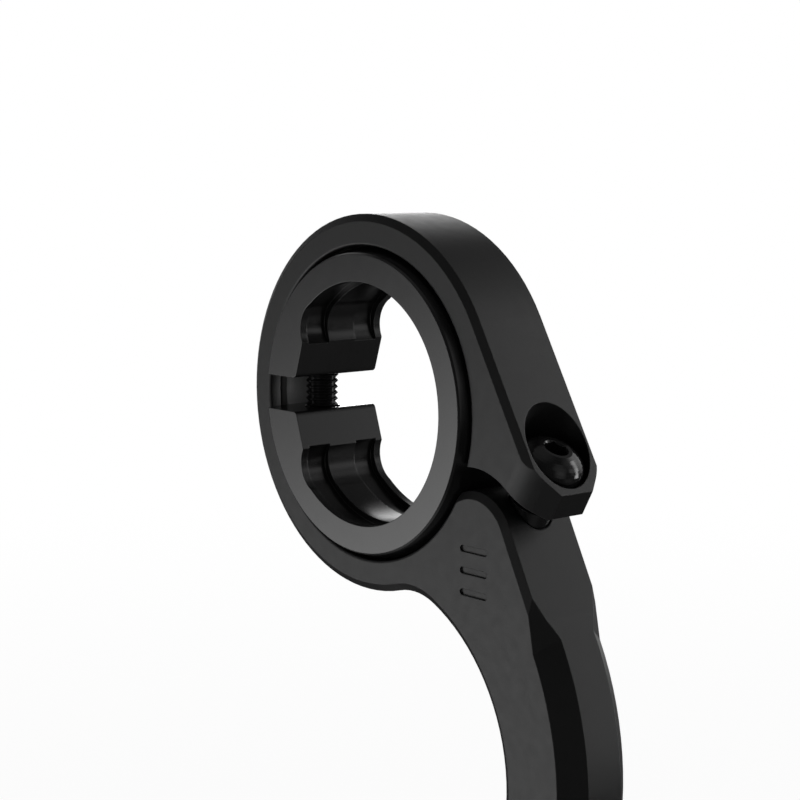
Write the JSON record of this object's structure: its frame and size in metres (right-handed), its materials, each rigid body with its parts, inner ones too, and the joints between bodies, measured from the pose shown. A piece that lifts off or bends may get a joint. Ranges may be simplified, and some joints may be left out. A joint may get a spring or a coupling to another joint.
{
  "type": "handlebar mount for a cycling computer",
  "caption": "Out-front handlebar mount with a split ball collar, a pinched swivel ring, a curved arm and a twist-lock cradle for a cycling computer.",
  "frame": {"origin": "on the handlebar's axis, at the middle of the clamp's width", "axes": "+Y along the handlebar, +Z up as the mount stands here, away from the arm; the arm leaves the ring towards +X and -Z and its hollow side and the cradle face -X. In use the arm is turned a quarter turn about the bar, so that -Z points forward and -X up"},
  "size_m": [0.0689, 0.036, 0.127],
  "materials": {
    "anodised_arm": "fine blasted black anodised",
    "anodised_collar": "satin black anodised",
    "black_steel": "black oxide",
    "bright_steel": "plain",
    "black_nylon": "moulded",
    "black_rubber": "matte"
  },
  "bodies": {
    "bar_collar": {"ball_collar": "anodised_collar", "collar_screw": "black_steel", "collar_washer": "black_steel", "collar_thread_insert": "black_steel"},
    "race": {"swivel_race": "black_nylon"},
    "arm": {"arm_frame": "anodised_arm", "pinch_screw": "black_steel", "pinch_washer": "black_steel", "pinch_thread_insert": "black_steel", "cradle_insert": "black_nylon", "friction_ring": "black_rubber", "insert_screw_upper": "black_steel", "insert_screw_lower": "black_steel", "insert_sleeve_upper": "bright_steel", "insert_sleeve_lower": "bright_steel", "detent_spring_right": "bright_steel", "detent_spring_left": "bright_steel"},
    "plunger_right": {"detent_plunger_right": "bright_steel"},
    "plunger_left": {"detent_plunger_left": "bright_steel"}
  },
  "joints": [
    {"name": "tilt", "type": "hinge", "parent": "bar_collar", "child": "race", "pos_m": [-0.00155, 0, 0], "axis": [1, 0, 0], "range_deg": [-9, 9]},
    {"name": "pitch", "type": "hinge", "parent": "race", "child": "arm", "pos_m": [-0.00155, 0, 0], "axis": [0, 1, 0], "continuous": true},
    {"name": "detent_right", "type": "slide", "parent": "arm", "child": "plunger_right", "axis": [1, 0, 0], "range_m": [0, 0.0008], "stiffness_N_per_m": 300, "springref_m": -0.0012, "deforming": ["detent_spring_right"]},
    {"name": "detent_left", "type": "slide", "parent": "arm", "child": "plunger_left", "axis": [1, 0, 0], "range_m": [0, 0.0008], "stiffness_N_per_m": 300, "springref_m": -0.0012, "deforming": ["detent_spring_left"]}
  ]
}
